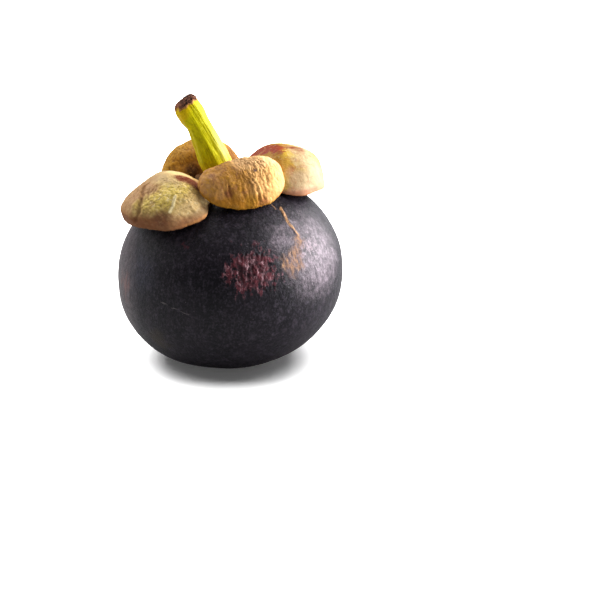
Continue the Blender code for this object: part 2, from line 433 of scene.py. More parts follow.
def rind_finish():
    finish = Finish("rind_skin")
    place = finish.local((0, 0, 0))
    wander = finish.drift(place, 0.35)
    warped = finish.shift(place, finish.stretch(wander, (7.0, 7.0, 7.0)))
    bent = finish.shift(place, finish.stretch(wander, (2.0, 2.0, 2.0)))
    streaks = finish.noise(finish.stretch(place, (1.0, 1.0, 0.3)), 0.7, 5.0, 0.62)
    brushed = finish.noise(finish.stretch(place, (1.0, 1.0, 0.16)), 1.6, 3.0, 0.6)
    clouds = finish.noise(place, 0.10, 4.0, 0.55)
    mottle = finish.noise(place, 0.62, 6.0, 0.74)
    grain = finish.noise(place, 2.4, 3.0, 0.7)
    specks = finish.cells(place, 0.8)

    skin = finish.mix(clouds.fade(0.38, 0.62), colour(10, 6, 17), colour(23, 17, 27))
    skin = finish.mix(mottle.fade(0.50, 0.68) * 0.55, skin, colour(80, 72, 84))
    freckles = finish.noise(finish.stretch(place, (1.0, 1.0, 0.7)), 1.7, 2.0, 0.6)
    skin = finish.mix(freckles.fade(0.50, 0.66) * 0.36, skin, colour(74, 67, 79))
    skin = finish.mix(streaks.fade(0.54, 0.75) * 0.4, skin, colour(66, 56, 66))
    skin = finish.mix(specks.fade(0.16, 0.05) * grain.fade(0.42, 0.6) * 0.6, skin, colour(120, 110, 120))

    # Painted sheen: a bluish grey patch high on the left side
    upper_left_sheen = finish.near(warped, (-24.5, -17.0, 31.0), 2.0, 9.0) * (0.35 + freckles.fade(0.4, 0.6) * 0.65)
    skin = finish.mix(upper_left_sheen * 0.36, skin, colour(62, 64, 84))
    # Painted reflection: a pale, mottled band down the far left side
    left_edge_sheen = finish.parts(bent)[0].fade(-25.5, -29.5) * (0.4 + mottle.fade(0.4, 0.6) * 0.6)
    skin = finish.mix(left_edge_sheen * 0.5, skin, colour(116, 104, 108))

    # Partly a waxy bloom, partly a painted sheen: a pale lilac patch where the side lamps reflect
    bloom_and_sheen = finish.near(warped, (21.5, -18.0, 36.5), 4.0, 15.0).most(
        finish.near(warped, (13.0, -20.5, 41.5), 2.0, 6.5) * 0.7)
    bloom_and_sheen_mottle = (mottle.fade(0.32, 0.66) * 0.8 + 0.16) * (0.58 + brushed.fade(0.42, 0.62) * 0.34)
    skin = finish.mix(bloom_and_sheen * bloom_and_sheen_mottle, skin, colour(158, 144, 154))
    # Partly bloom, partly painted sheen: pinkish flecks in the middle of it
    pink_bloom_and_sheen = finish.near(warped, (19.6, -18.6, 39.0), 1.0, 5.5) * mottle.fade(0.47, 0.60)
    skin = finish.mix(pink_bloom_and_sheen * 0.5, skin, colour(166, 146, 154))

    from_scrape = finish.away(finish.local(SCRAPE_MIDDLE, scale=SCRAPE_SIZE), (0.0, 0.0, 0.0))
    scrape = from_scrape.fade(1.35, 0.1)
    around = from_scrape.fade(1.6, 0.7)
    scrape = (scrape + (streaks - 0.5) * 2.4 + (mottle - 0.5) * 1.8).fade(0.28, 0.66) * around
    ridges = finish.noise(finish.stretch(bent, (1.1, 0.7, 0.3)), 1.0, 3.0, 0.6)
    skin = finish.mix(scrape * (0.25 + mottle.fade(0.40, 0.58) * 0.65), skin, colour(110, 52, 61))
    # Painted shade in the grooves between the scrape's ridges
    skin = finish.mix(scrape * finish.attribute("crack") * 0.75, skin, colour(34, 14, 22))
    glints = (ridges * 0.75 + grain * 0.25).fade(0.52, 0.60)
    skin = finish.mix(scrape * glints * 0.7, skin, colour(178, 140, 148))
    dot = finish.near(warped, (-13.1, -22.5, 40.6), 0.3, 1.0)
    skin = finish.mix(dot * 0.6, skin, colour(88, 38, 48))
    # Painted highlight: small red glints on the scrape
    skin = finish.mix(scrape * grain.fade(0.62, 0.72) * 0.6, skin, colour(164, 84, 84))

    fan = finish.near(warped, *SCAR_FAN[0])
    for lobe in SCAR_FAN[1:]:
        fan = fan.most(finish.near(warped, *lobe))
    strands = finish.noise(finish.stretch(bent, (1.0, 0.8, 0.36)), 1.0, 5.0, 0.7)
    corky = fan * (strands.fade(0.42, 0.55) * 0.8 + 0.2)
    skin = finish.mix(corky, skin, colour(146, 116, 98))
    skin = finish.mix(fan * strands.fade(0.56, 0.68) * 0.8, skin, colour(190, 146, 98))
    scar = finish.path(bent, SCAR_LINE, 0.2, 0.6).most(finish.path(bent, SCAR_BRANCH, 0.05, 0.35) * 0.6)
    skin = finish.mix(scar * grain.fade(0.3, 0.5), skin, colour(176, 136, 98))

    rubbed = finish.near(warped, (-29.8, -11.4, 25.6), 1.5, 5.5) * streaks.fade(0.42, 0.6)
    skin = finish.mix(rubbed * 0.75, skin, colour(116, 84, 82))
    scratch = finish.path(bent, SCRATCH, 0.06, 0.26)
    skin = finish.mix(scratch * 0.6, skin, colour(116, 108, 110))
    olive = finish.near(warped, (-21.0, -21.0, 13.8), 1.0, 5.0)
    skin = finish.mix(olive * 0.4, skin, colour(66, 56, 34))

    finish.set(base_color=skin)
    finish.set(roughness=0.27 + mottle * 0.22 + grain * 0.12 + scrape * 0.08 + fan * 0.2)
    relief = finish.bump(grain, 0.12, 0.8)
    relief = finish.bump(mottle, 0.3, 0.6, under=relief)
    finish.set(normal=finish.bump(streaks, 0.25, 0.6, under=relief))
    finish.reflect(0.28)
    return finish.material


def build_rind():
    skin = refined_copy("rind", "rind_skin", 2)
    refine_near(skin, DETAIL_MIDDLE, DETAIL_RADIUS, DETAIL_CUTS)
    carve(skin, rind_depth)
    skin.data.materials.append(rind_finish())


# ---------------------------------------------------------------- sepals

FRONT_FOLDS = (
    points((-0.6, -5.0, 2.5), (0.2, -6.2, -0.2), (0.9, -6.8, -4.3)),
    points((1.7, -6.3, -0.6), (2.1, -6.8, -3.8)),
    points((-2.6, -5.0, 0.5), (-1.9, -5.8, -2.8)),
    points((3.3, -5.6, 2.0), (3.6, -6.4, -1.2)),
)
FRONT_CLEFT = points((-6.2, -3.5, 0.2), (-6.2, -4.0, -1.4), (-6.0, -4.2, -2.8))
LEFT_CREASE = points((0.4, -5.6, 4.6), (0.6, -7.2, 3.6), (2.6, -8.8, 2.9), (4.9, -10.6, 0.9),
                     (5.5, -12.0, -1.4), (4.8, -12.6, -3.6))
LEFT_RIDGE = points((10.7, -3.6, 2.9), (11.6, -4.9, 0.5), (11.5, -5.7, -0.8))
# Path of a painted highlight along the left sepal's low right edge
LEFT_LIT_EDGE = ((12.4, -4.4, -4.9), (13.4, -2.6, -4.5), (14.8, 0.4, -3.6), (15.3, 3.1, -2.4))
LEFT_LIP = ((13.6, -2.2, -4.0), (15.0, 1.6, -2.2), (14.6, 4.0, -0.6))
# Path of a painted highlight along the left sepal's crown
LEFT_TOP_HIGHLIGHT = ((0.4, 1.4, 6.2), (2.4, 2.7, 6.0), (4.2, 4.2, 5.5))
LEFT_RED = ((5.8, 1.8, 5.7), (7.0, 3.6, 5.0), (8.4, 4.8, 3.9))
RIGHT_RED = ((-2.4, 2.8, 7.8), (-0.4, 4.6, 7.4), (1.6, 6.8, 6.3), (3.0, 9.0, 4.4))
RIGHT_BLUSH = ((-0.6, 1.6, 8.0), (-1.6, -0.8, 7.9), (-3.4, -3.4, 7.2))
RIGHT_EDGE = ((-11.2, 4.6, -2.0), (-12.2, 1.0, -2.6), (-11.8, -2.6, -2.4), (-10.4, -6.0, -2.4))

# Depths and heights on the sepals; each is sunk a little all over to make room for its carving
LEAF_INSET = {"front": 0.06, "left": 0.08, "right": 0.07, "back": 0.06}
FRONT_WRINKLE = 0.17
FRONT_DEEP_WRINKLE = 0.18
FRONT_FOLD_HEIGHT = 0.13
FRONT_FOLD_SIDES = 0.09
FRONT_CLEFT_DEPTH = 0.35
FRONT_ENDS = (0.75, 0.35)  # how full its left and its right end are
FRONT_LOW_FULLNESS = 0.2
LEFT_NET = 0.12
LEFT_DEEP_NET = 0.16
LEFT_COMB = 0.18
LEFT_GROOVE = 0.42
LEFT_SHOULDER = 0.26
LEFT_RIM_FULLNESS = 0.85
LEFT_TIP_INSET = 0.5
LEFT_RIDGE_HEIGHT = 0.36
RIGHT_LINE = 0.08
RIGHT_LIP_FULLNESS = 0.4
BACK_WRINKLE = 0.18


def bark(flow):
    """Fine broken wrinkles in three sizes, as 0 on the ridges to 1 in the furrows."""
    coarse = valley(flow, 0.34)
    middling = valley(flow * 1.9 + Vector((7, 3, 1)), 0.38)
    small = valley(flow * 3.7 + Vector((2, 8, 5)), 0.42)
    return min(1.0, coarse * 0.5 + middling * 0.42 + small * 0.3)


def front_depth(place):
    """Bark-like upright wrinkles right of the middle, knobs and a cleft, and full ends."""
    wrinkled = ease(place.x, -3.0, 0.0) * ease(place.x, 6.5, 3.8)
    furrows = bark(stretched(place, 0.95, 2.3, 0.9))
    knobs = swell(place, 1.1, 0.10) + swell(place, 0.35, 0.22)
    crack = (0.4 + 0.5 * wrinkled) * furrows
    depth = LEAF_INSET["front"] + knobs + (FRONT_WRINKLE + FRONT_DEEP_WRINKLE * wrinkled) * furrows
    wander = place + noise.noise_vector(place * 0.8) * 0.35
    for fold in FRONT_FOLDS:
        away = off_path(wander, fold)
        rise = ease(away, 0.5, 0.1)
        beside = ease(away, 0.45, 0.65) * ease(away, 1.1, 0.75)
        depth += beside * FRONT_FOLD_SIDES - rise * FRONT_FOLD_HEIGHT
        crack = max(crack * (1 - rise), beside * 0.4)
    cleft = ease(off_path(wander, FRONT_CLEFT), 0.6, 0.1)
    ends = ease(place.x, -6.5, -11.0) * FRONT_ENDS[0] + ease(place.x, 7.5, 11.0) * FRONT_ENDS[1]
    low = ease(place.z, -3.6, -5.4) * FRONT_LOW_FULLNESS
    return depth + cleft * FRONT_CLEFT_DEPTH - ends - low, max(crack, cleft)


def left_depth(place):
    """A soft crease parts the combed left lobe from a net; the low right rim is full."""
    lobe = ease(place.x - place.y * 0.6, 11.5, 8.0) * ease(place.y, -3.0, -6.5)
    netted = ease(place.x, 2.0, 5.5) * ease(place.x, 15.6, 13.0) * ease(place.y, 6.0, 2.0)
    cells = bark(stretched(place, 1.0, 1.25, 1.0))
    comb = valley(Vector((place.x * 1.1 + place.z * 0.5, place.y * 0.5, place.z * 0.3)), 0.34)
    crack = (0.2 + 0.8 * netted) * cells * 0.8 + lobe * comb * 0.4
    depth = LEAF_INSET["left"] + swell(place, 0.3, 0.22) + (LEFT_NET + LEFT_DEEP_NET * netted) * cells
    depth += lobe * comb * LEFT_COMB + swell(place, 0.9, 0.06)
    wander = place + noise.noise_vector(place * 0.6) * 0.6
    away = off_path(wander, LEFT_CREASE) + swell(place, 1.3, 0.25)
    groove = ease(away, 1.0, 0.1)
    shoulder = ease(off_path(wander + Vector((1.3, 0.8, 0.0)), LEFT_CREASE), 1.4, 0.3)
    depth += groove * LEFT_GROOVE - shoulder * LEFT_SHOULDER
    depth -= LEFT_RIM_FULLNESS * ease(place.x, 7.0, 12.0) * ease(place.z, -1.0, -3.5)
    tip = ease(place.x, 11.0, 13.5) * ease(place.y, 1.0, 4.5) * ease(place.z, -3.6, -0.2)
    depth += LEFT_TIP_INSET * tip
    ridge = ease(off_path(wander, LEFT_RIDGE), 0.55, 0.1)
    return depth - ridge * LEFT_RIDGE_HEIGHT, min(1.0, max(crack * (1 - ridge), groove * 0.9))


def right_depth(place):
    """Nearly smooth, with soft swellings, faint lines down to the rim and a full lip."""
    swellings = swell(place, 0.2, 0.3) + swell(place, 0.8, 0.06)
    lines = bark(stretched(place, 1.1, 2.6, 0.7))
    lip = ease(place.x, -8.5, -11.5) * ease(place.z, 0.0, -2.0) * ease(place.y, -6.5, -1.5)
    depth = LEAF_INSET["right"] + swellings + lines * RIGHT_LINE - lip * RIGHT_LIP_FULLNESS
    return depth, lines * 0.4


def back_depth(place):
    """Broad swellings and furrows that run down to the rim."""
    furrows = bark(stretched(place, 1.2, 2.6, 0.9))
    swellings = LEAF_INSET["back"] + swell(place, 0.25, 0.3) + swell(place, 0.8, 0.06)
    return swellings + furrows * BACK_WRINKLE, furrows * 0.8


class Leather(Finish):
    """The finish of one sepal, in its own axes: x sideways, y to the stem, z up."""

    def __init__(self, node):
        super().__init__(node + "_skin")
        self.at = self.local(middle_of(node), turn_of(node))
        self.x, self.y, self.z = self.parts(self.at)
        self.blotch = self.noise(self.at, 0.22, 4.0, 0.6)
        self.fine = self.noise(self.at, 0.9, 4.0, 0.65)
        self.grain = self.noise(self.at, 3.5, 2.0, 0.6)
        self.wander = self.noise(self.at, 0.45, 3.0, 0.5) - 0.5
        self.dashes = self.noise(self.stretch(self.at, (1.0, 0.4, 0.4)), 0.8, 4.0, 0.65).fade(0.42, 0.62)
        self.crack = self.attribute("crack")
        self.down = self.attribute("down")

    def spot(self, skin, point, inner, outer, shade, strength=1.0):
        """Colour the skin around a point, with a ragged edge."""
        mask = self.near(self.at, point, inner, outer)
        return self.mix(mask * self.fine.fade(0.25, 0.5) * strength, skin, shade)

    def complete(self, skin, crack_shade, pale, rim_shade, under_shade, crack_depth=0.8):
        """Pale flecks; painted shade in the cracks, on the rim over its own colour, and beneath; gloss
        and grain.
        """
        skin = self.mix(self.fine.fade(0.52, 0.72) * 0.4, skin, pale)
        # Painted shade in the carved cracks; the same colour also makes the dark specks below
        skin = self.mix(self.crack.fade(0.15, 0.9) * crack_depth, skin, crack_shade)
        # Partly the rim's own colour, partly painted shade where the skin turns sideways and down
        skin = self.mix(self.down.fade(-0.15, 0.3) * 0.8, skin, rim_shade)
        # Painted shade on the underside
        skin = self.mix(self.down.fade(0.45, 0.8), skin, under_shade)
        specks = self.cells(self.at, 1.3).fade(0.2, 0.08) * self.grain.fade(0.45, 0.6)
        skin = self.mix(specks * 0.35, skin, crack_shade)
        self.set(base_color=skin, roughness=0.46 + self.fine * 0.2 + self.crack * 0.15)
        self.set(normal=self.bump(self.grain, 0.1, 0.6, under=self.bump(self.fine, 0.22, 0.6)))
        self.reflect(0.22)
        return self.material


def front_finish():
    leaf = Leather("sepal_front")
    skin = leaf.mix(leaf.blotch.fade(0.42, 0.6), colour(176, 130, 66), colour(178, 128, 46))
    mauve = (leaf.x + leaf.wander * 4).fade(-5.0, -8.0)
    skin = leaf.mix(mauve * leaf.blotch.fade(0.35, 0.6), skin, colour(190, 144, 92))
    stains = leaf.noise(leaf.at, 0.62, 4.0, 0.7)
    skin = leaf.mix(stains.fade(0.53, 0.63) * 0.5, skin, colour(140, 96, 70))
    skin = leaf.mix(stains.fade(0.46, 0.38) * 0.5, skin, colour(204, 154, 50))
    pale = (leaf.x + leaf.wander * 3).fade(-1.5, 1.5)
    skin = leaf.mix(pale * 0.9, skin, colour(238, 190, 126))
    end = (leaf.x + leaf.wander * 3).fade(5.5, 8.5)
    skin = leaf.mix(end * 0.75, skin, colour(248, 160, 112))
    lit = (leaf.z + leaf.wander * 2).fade(3.2, 5.4) * leaf.x.fade(-5.0, -1.0)
    skin = leaf.mix(lit * 0.7, skin, colour(228, 192, 146))
    low = (leaf.z + leaf.wander * 2.5).fade(-1.6, -3.8) * (leaf.x + leaf.wander * 4).fade(4.0, 0.5)
    skin = leaf.mix(low * 0.8, skin, colour(160, 108, 18))
    skin = leaf.spot(skin, (-0.6, -6.3, -4.0), 0.8, 2.8, colour(196, 150, 50), 0.5)
    skin = leaf.spot(skin, (2.8, -6.8, -5.0), 0.8, 2.2, colour(180, 116, 78), 0.8)
    skin = leaf.spot(skin, (-6.2, -3.9, -1.6), 0.5, 1.8, colour(130, 76, 50), 0.8)
    skin = leaf.spot(skin, (-8.8, 1.0, 2.0), 0.3, 1.4, colour(136, 100, 84), 0.8)
    skin = leaf.spot(skin, (1.6, -4.1, 3.8), 0.3, 0.8, colour(96, 78, 88))
    return leaf.complete(skin, colour(140, 90, 46), colour(220, 178, 118), colour(170, 122, 26),
                         colour(120, 84, 50), crack_depth=0.6)


def left_finish():
    leaf = Leather("sepal_left")
    netted = (leaf.x + leaf.wander * 4).band(4.4, 11.9, 2.2) * (leaf.y + leaf.wander * 2).fade(5.0, 0.0)
    netted = netted * (leaf.z + leaf.wander * 3).fade(-2.4, 0.9)
    skin = leaf.mix(leaf.blotch.fade(0.4, 0.6), colour(178, 144, 104), colour(186, 156, 106))
    skin = leaf.mix(netted * leaf.blotch.fade(0.3, 0.55) * 0.85, skin, colour(232, 208, 112))
    skin = leaf.mix(netted * leaf.fine.fade(0.48, 0.66) * 0.75, skin, colour(246, 222, 148))
    smooth = (leaf.x + leaf.wander * 3).fade(10.5, 13.5)
    skin = leaf.mix(smooth * 0.85, skin, colour(244, 214, 156))
    strokes = leaf.noise(leaf.stretch(leaf.at, (1.0, 0.6, 0.6)), 1.2, 4.0, 0.7)
    skin = leaf.mix(smooth * strokes.fade(0.50, 0.62) * 0.3, skin, colour(208, 168, 112))
    skin = leaf.mix(smooth.most(netted) * strokes.fade(0.46, 0.36) * 0.6, skin, colour(254, 236, 192))
    lobe = (leaf.x - leaf.y * 0.6 + leaf.wander * 3).fade(11.5, 8.5) * leaf.y.fade(-3.5, -6.5)
    skin = leaf.mix(lobe * (0.5 + leaf.blotch.fade(0.3, 0.6) * 0.5), skin, colour(180, 142, 102))
    # Painted highlight: paler along the top, where the back lamp falls, and brightest on the crown
    lit_top = (leaf.z + leaf.wander * 2).fade(4.2, 5.8)
    skin = leaf.mix(lit_top * 0.75, skin, colour(196, 172, 128))
    crown_highlight = leaf.path(leaf.at, LEFT_TOP_HIGHLIGHT, 0.8, 2.6)
    skin = leaf.mix(crown_highlight * 0.8, skin, colour(236, 208, 154))
    skin = leaf.spot(skin, (0.2, -3.4, 5.0), 0.6, 2.4, colour(168, 134, 98), 0.6)
    skin = leaf.spot(skin, (4.4, -5.3, 4.7), 0.3, 1.1, colour(150, 114, 66), 0.7)
    red = leaf.path(leaf.at, LEFT_RED, 1.4, 3.0)
    skin = leaf.mix(red * leaf.dashes.most(0.88), skin, colour(112, 40, 24))
    skin = leaf.spot(skin, (9.4, 5.6, 3.4), 0.8, 3.0, colour(126, 76, 52), 0.7)
    lip = leaf.path(leaf.at, LEFT_LIP, 0.6, 2.4)
    skin = leaf.mix(lip * 0.6, skin, colour(150, 108, 82))
    skin = leaf.spot(skin, (13.9, -0.7, 0.2), 0.2, 0.7, colour(150, 104, 70), 0.6)
    low = (leaf.z + leaf.wander * 2.5).fade(-1.4, -3.8) * (leaf.x + leaf.wander * 3).fade(13.0, 10.0)
    skin = leaf.mix(low * 0.8, skin, colour(162, 106, 60))
    skin = leaf.spot(skin, (10.4, -7.6, -3.0), 1.0, 3.6, colour(118, 76, 58), 0.8)
    right_low = (leaf.z + leaf.wander * 1.5).fade(-1.6, -3.4) * leaf.x.fade(10.5, 13.0)
    skin = leaf.mix(right_low * 0.7, skin, colour(186, 134, 94))
    ridge = leaf.path(leaf.at, [tuple(point) for point in LEFT_RIDGE], 0.25, 0.65)
    skin = leaf.mix(ridge * 0.9, skin, colour(238, 222, 176))
    # Colour for the rim: its own colour, and the painted shade where the skin turns down
    rim = leaf.mix((leaf.x + leaf.wander * 2).fade(11.0, 13.5), colour(124, 82, 54), colour(166, 110, 74))
    # Painted highlight along the sunlit low edge, on the skin and on the rim colour
    edge = leaf.path(leaf.at, LEFT_LIT_EDGE, 0.2, 0.7) * 0.7
    skin = leaf.mix(edge, skin, colour(222, 164, 104))
    rim = leaf.mix(edge, rim, colour(222, 164, 104))
    return leaf.complete(skin, colour(122, 88, 52), colour(208, 182, 134), rim,
                         colour(112, 80, 54), crack_depth=0.5)


def right_finish():
    leaf = Leather("sepal_right")
    skin = leaf.mix(leaf.blotch.fade(0.40, 0.6), colour(188, 158, 64), colour(195, 170, 79))
    cream = (leaf.z * 0.5 - leaf.y * 0.6 - leaf.x * 0.25 + leaf.wander * 4).fade(3.4, 6.4)
    lower = (leaf.z + leaf.wander * 3).fade(4.8, 2.0) * (leaf.y + leaf.wander * 2).fade(4.2, 1.0)
    skin = leaf.mix(cream.most(lower) * 0.9, skin, colour(192, 170, 138))
    outward = leaf.y.fade(-4.0, -8.0) * leaf.x.fade(-8.5, -4.5)
    skin = leaf.mix(outward * 0.85, skin, colour(166, 138, 88))
    shaded = (leaf.y + leaf.wander * 3).fade(0.0, 4.0) * (leaf.z + leaf.wander * 3).fade(1.0, 4.0)
    skin = leaf.mix(shaded * 0.75, skin, colour(148, 106, 40))
    red = leaf.path(leaf.at, RIGHT_RED, 0.8, 3.6)
    ragged = (red * 1.2 + (leaf.dashes - 0.6) * 0.8).fade(0.1, 0.75)
    skin = leaf.mix(ragged * 0.9, skin, colour(146, 52, 34))
    skin = leaf.mix(red * leaf.dashes * 0.6, skin, colour(118, 46, 38))
    blush = leaf.path(leaf.at, RIGHT_BLUSH, 0.8, 2.2)
    skin = leaf.mix(blush * (0.5 + leaf.dashes * 0.4), skin, colour(130, 62, 38))
    skin = leaf.spot(skin, (-4.7, 2.7, 7.1), 0.4, 1.3, colour(140, 92, 54), 0.8)
    skin = leaf.spot(skin, (-9.2, 0.8, 4.1), 0.4, 1.5, colour(178, 128, 94), 0.45)
    low = (leaf.z + leaf.wander * 1.5).fade(-0.4, -2.0)
    skin = leaf.mix(low * 0.75, skin, colour(194, 150, 124))
    edge = leaf.path(leaf.at, RIGHT_EDGE, 0.3, 1.2)
    skin = leaf.mix(edge * 0.45, skin, colour(176, 112, 82))
    return leaf.complete(skin, colour(158, 114, 70), colour(204, 186, 148), colour(200, 138, 98),
                         colour(130, 92, 62), crack_depth=0.5)


def back_finish():
    leaf = Leather("sepal_back")
    skin = leaf.mix(leaf.blotch.fade(0.4, 0.6), colour(186, 140, 50), colour(190, 140, 32))
    # Painted shade: darker towards the stem, where the sepal dips to the stem's foot
    inner = (leaf.y + leaf.wander * 3).fade(-1.0, 5.0)
    skin = leaf.mix(inner * 0.7, skin, colour(160, 104, 14))
    # Painted shade at the stem's foot
    skin = leaf.spot(skin, (5.0, 6.2, 0.6), 1.0, 3.6, colour(84, 48, 18))
    skin = leaf.spot(skin, (-8.6, 2.6, 3.0), 1.5, 5.0, colour(142, 92, 20), 0.95)
    return leaf.complete(skin, colour(112, 74, 30), colour(196, 154, 66), colour(150, 106, 56),
                         colour(104, 72, 44), crack_depth=0.7)


def build_sepal(node, depth_at, material):
    piece = refined_copy(node, node + "_leaf", 3)
    carve(piece, depth_at, middle_of(node), turn_of(node))
    piece.data.materials.append(material)


def build_sepals():
    build_sepal("sepal_front", front_depth, front_finish())
    build_sepal("sepal_left", left_depth, left_finish())
    build_sepal("sepal_right", right_depth, right_finish())
    build_sepal("sepal_back", back_depth, back_finish())


# ---------------------------------------------------------------- calyx collar

STEM_FOOT = Vector((-3.5, 0.0, 51.0))
COLLAR_REACH = 8.8         # between two sepals, from the stem's middle
COLLAR_LOBE = 3.8          # further where it runs under a sepal
COLLAR_RISE = 2.7          # over the rind, beside the stem
COLLAR_ROOT = 0.35         # how deep its underside is pressed in
COLLAR_FOLD = 0.35         # depth of its folds
COLLAR_FURROW = 0.16       # depth of its furrows
DROP_HEIGHT = 30.0         # above the stem's foot, well clear of the rind


def sepal_share(around):
    """1 in the direction of a sepal and 0 half way between two."""
    return max(ease(abs((math.degrees(around) - azimuth + 180) % 360 - 180), 44.0, 14.0)
               for azimuth in SEPAL_AZIMUTHS.values())


def collar_depth(place):
    """Creases that run out from the stem, and small lumps."""
    out = place - STEM_FOOT
    around = math.atan2(out.x, -out.y)
    radius = math.hypot(out.x, out.y)
    folds = valley(Vector((math.cos(around) * 3.2, math.sin(around) * 3.2, radius * 0.16)), 0.3)
    furrows = bark(place * 0.9)
    depth = swell(place, 0.5, 0.3) + folds * COLLAR_FOLD + furrows * COLLAR_FURROW
    return depth, min(1.0, folds * 0.7 + furrows * 0.5)


def collar_finish():
    finish = Finish("collar_skin")
    place = finish.local((0, 0, 0))
    out = finish.away(place, tuple(STEM_FOOT))
    blotch = finish.noise(place, 0.3, 4.0, 0.6)
    fine = finish.noise(place, 1.1, 4.0, 0.65)
    grain = finish.noise(place, 3.2, 2.0, 0.6)
    skin = finish.mix(blotch.fade(0.4, 0.6), colour(84, 55, 30), colour(108, 74, 38))
    skin = finish.mix((out + blotch * 3).fade(8.6, 6.6) * 0.6, skin, colour(142, 116, 34))
    skin = finish.mix(fine.fade(0.5, 0.7) * 0.45, skin, colour(158, 118, 70))
    # Painted shade in the folds and furrows
    skin = finish.mix(finish.attribute("crack").fade(0.15, 0.8) * 0.8, skin, colour(56, 36, 22))
    skin = finish.mix((out + fine * 2).fade(9.4, 11.4) * 0.6, skin, colour(64, 44, 32))
    finish.set(base_color=skin, roughness=0.55 + fine * 0.2)
    finish.set(normal=finish.bump(grain, 0.1, 0.6, under=finish.bump(fine, 0.22, 0.7)))
    finish.reflect(0.12)
    return finish.material


def build_collar():
    """The leathery base that joins the sepals round the stem, pressed on to the rind."""
    bpy.ops.object.select_all(action="DESELECT")
    bpy.ops.mesh.primitive_uv_sphere_add(segments=120, ring_count=60, radius=1.0)
    piece = bpy.context.object
    piece.name = "calyx_collar"
    rind = frame["nodes"]["rind"].data
    ground = BVHTree.FromPolygons([vert.co / MM for vert in rind.vertices],
                                  [tuple(face.vertices) for face in rind.polygons])
    for vert in piece.data.vertices:
        share = math.hypot(vert.co.x, vert.co.y)
        around = math.atan2(vert.co.x, -vert.co.y)
        lobe = sepal_share(around)
        radius = share * (COLLAR_REACH + COLLAR_LOBE * lobe + noise.noise(vert.co * 3) * 0.5)
        place = STEM_FOOT + Vector((math.sin(around) * radius, -math.cos(around) * radius, DROP_HEIGHT))
        hit = ground.ray_cast(place, Vector((0, 0, -1)))[0]
        rise = 0.0
        if vert.co.z > 0:
            rise = (COLLAR_RISE - 0.5 * lobe) * max(0.0, 1 - share ** 2.6) ** 0.6
        root = COLLAR_ROOT * (1 - ease(vert.co.z, 0.0, 0.3))
        vert.co = Vector((hit.x, hit.y, hit.z + rise - root)) * MM
    bpy.ops.object.shade_smooth()
    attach(piece, "root")
    carve(piece, collar_depth)
    piece.data.materials.append(collar_finish())


# ---------------------------------------------------------------- stem

STEM_LEAN = math.radians(24.0)
STEM_BASE = Vector((-3.0, 0.0, 50.0))
CUT_NORMAL = Vector((-0.5, 0.0, 0.866))
CUT_LEVEL = 70.3
STEM_OFFSET = 0.8          # from the base's axis to the stalk's own middle line
PATTERN_STRETCH = 0.93     # share of the height taken out, which draws patterns out along the stalk

# Depths and heights on the stem
STEM_SLIM = 0.25
STEM_BELLY = 0.45
STEM_KNUCKLE = 0.6
STEM_DOME = 0.9
STEM_LIP = 0.4
STEM_RIDGE = 0.11
STEM_FINE_RIDGE = 0.07


def stem_depth(place):
    """A slim right side, a belly and a knuckle on the left, ridges and a domed rough end."""
    to_cut = place.dot(CUT_NORMAL) - CUT_LEVEL
    dry = ease(to_cut + swell(place, 0.8, 0.7), -1.3, -0.3)
    along = place - CUT_NORMAL * place.dot(CUT_NORMAL) * PATTERN_STRETCH
    ridges = valley(along * 0.55 + noise.noise_vector(place * 0.12) * 0.3, 0.5)
    fine = valley(along * 1.5 + Vector((4, 1, 7)), 0.4)
    rough = swell(place, 1.6, 0.25) + swell(place, 3.2, 0.12)
    out = place - STEM_BASE
    across = out.x * math.cos(STEM_LEAN) + out.z * math.sin(STEM_LEAN) - STEM_OFFSET
    rise = out.z * math.cos(STEM_LEAN) - out.x * math.sin(STEM_LEAN)
    slim = ease(rise, 6.0, 12.0) * ease(rise, 23.0, 17.0) * ease(across, 0.0, 2.6)
    knuckle = ease(rise, 17.5, 21.0) * ease(rise, 25.5, 23.5) * ease(across, 0.3, -2.0)
    domed = ease(math.hypot(across, place.y), 3.0, 0.6) * ease(to_cut, -0.5, -0.1)
    belly = ease(rise, 5.0, 9.0) * ease(rise, 19.0, 15.0) * ease(across, 1.0, -2.0)
    depth = slim * STEM_SLIM - belly * STEM_BELLY - knuckle * STEM_KNUCKLE - domed * STEM_DOME
    depth += swell(place, 0.35, 0.12)
    depth += (1 - dry) * (ridges * STEM_RIDGE + fine * STEM_FINE_RIDGE) + dry * rough
    depth -= dry * ease(place.x, -12.0, -15.5) * STEM_LIP
    return depth, dry


